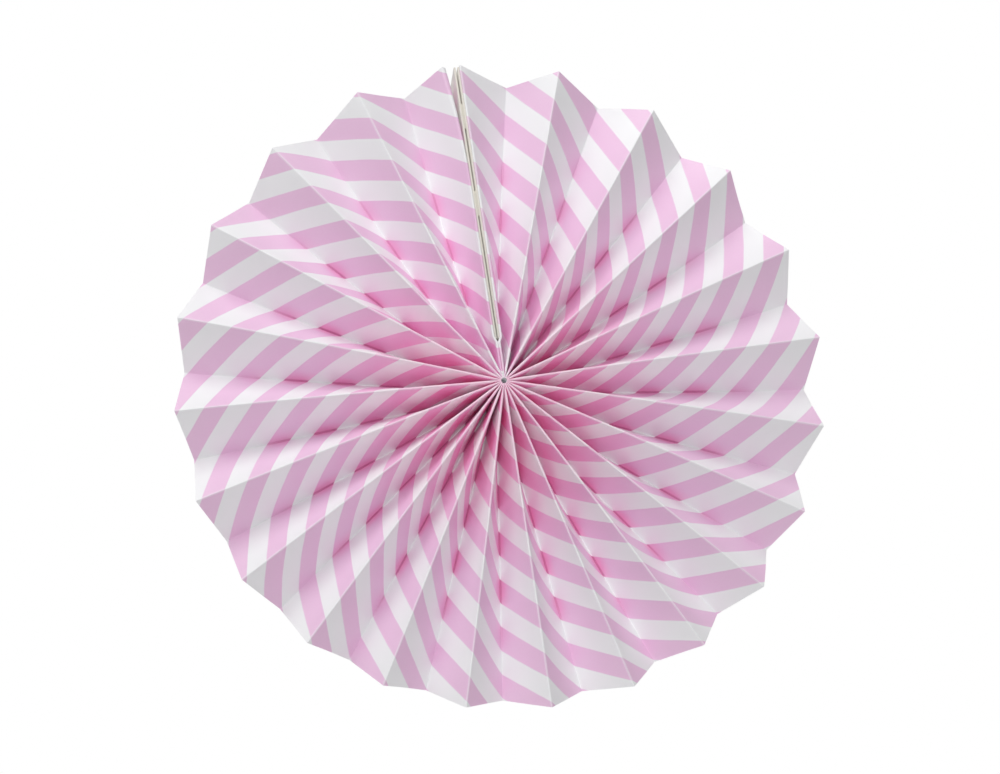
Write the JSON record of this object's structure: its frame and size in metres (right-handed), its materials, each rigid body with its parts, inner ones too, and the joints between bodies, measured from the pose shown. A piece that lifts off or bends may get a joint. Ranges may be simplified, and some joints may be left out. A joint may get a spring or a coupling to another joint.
{
  "type": "paper fan rosette",
  "caption": "Round wall decoration of accordion-pleated paper, closed into a full circle at a card-stiffened seam, with a zigzag rim and a bound hub with a small hole.",
  "frame": {"origin": "centre of the hub's bore, halfway through the depth of the pleats", "axes": "+Z from the hub up along the seam, -Y along the hub axis out of the front face, +X to the right as seen from the front"},
  "size_m": [0.2998, 0.0264, 0.3],
  "materials": {
    "striped_paper": "matte printed paper, pink and white diagonal stripes",
    "white_card": "matte white card with a cream cut edge",
    "tape": "cream double-sided tape",
    "thread": "twisted white cotton thread"
  },
  "bodies": {
    "root": {"pleated_paper": "striped_paper", "end_card_left": "white_card", "end_card_right": "white_card", "tape_pad_outer": "tape", "tape_pad_inner": "tape", "binding_thread": "thread"}
  },
  "joints": []
}
